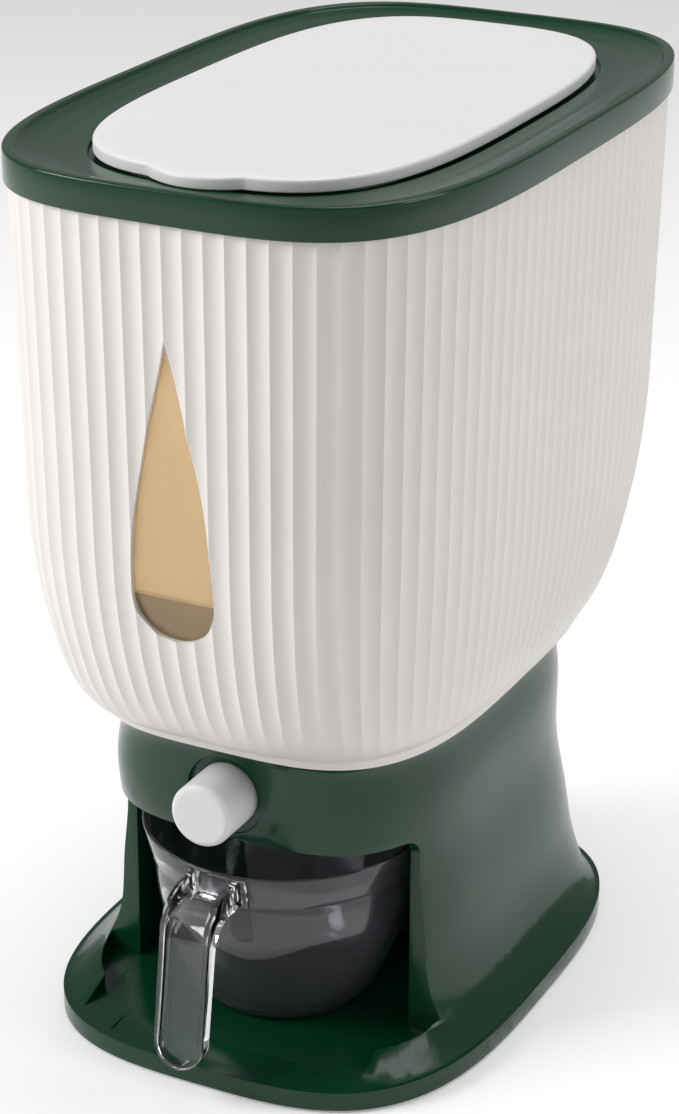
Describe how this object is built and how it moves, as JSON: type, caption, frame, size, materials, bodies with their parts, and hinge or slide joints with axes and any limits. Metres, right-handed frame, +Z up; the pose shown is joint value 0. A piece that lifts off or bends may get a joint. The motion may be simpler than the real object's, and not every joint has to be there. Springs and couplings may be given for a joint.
{
  "type": "rice dispenser",
  "caption": "Countertop rice dispenser: a fluted tank with a lift-off lid on a waisted pedestal, a push button that opens the gate, and a clear cup that slides out below.",
  "frame": {"origin": "on the floor, under the middle of the tank's collar", "axes": "+Z up, front with button and cup towards -Y, +X to the right seen from the front"},
  "size_m": [0.218, 0.3478, 0.421],
  "materials": {
    "white_shell": "satin",
    "white_lid": "satin",
    "white_hopper": "satin",
    "white_button": "matt",
    "green_shell": "gloss",
    "green_plate": "satin",
    "amber_lens": "gloss, clear amber",
    "grey_plastic": "satin",
    "soft_seal": "soft, matt",
    "rubber_pad": "matt",
    "steel": "plain zinc",
    "clear_cup": "gloss, smoky clear"
  },
  "bodies": {
    "base": {"base_housing": "green_shell", "bottom_plate": "green_plate", "foot_pad_front_left": "rubber_pad", "foot_pad_front_right": "rubber_pad", "foot_pad_rear_left": "rubber_pad", "foot_pad_rear_right": "rubber_pad", "plate_screws": "steel", "gate_screws": "steel", "tank_screws": "steel", "tank_shell": "white_shell", "window_lens": "amber_lens", "collar": "green_shell", "hopper": "white_hopper", "chute_seal": "soft_seal", "gate_cover": "grey_plastic", "gate_housing": "grey_plastic", "button_bush": "green_shell"},
    "lid": {"lid_cover": "white_lid", "lid_seal": "soft_seal"},
    "button": {"button_cap": "white_button", "button_pin": "steel", "gate_slider": "grey_plastic", "return_spring": "steel"},
    "cup_body": {"cup": "clear_cup", "cup_handle": "clear_cup"}
  },
  "joints": [
    {"name": "lid_lift", "type": "slide", "parent": "base", "child": "lid", "axis": [0, 0, 1], "range_m": [0, 0.06]},
    {"name": "button_press", "type": "slide", "parent": "base", "child": "button", "axis": [0, 1, 0], "range_m": [0, 0.015], "stiffness_N_per_m": 400, "springref_m": -0.006, "deforming": ["return_spring"]},
    {"name": "cup_pull", "type": "slide", "parent": "base", "child": "cup_body", "axis": [0, -1, 0], "range_m": [0, 0.17]}
  ]
}
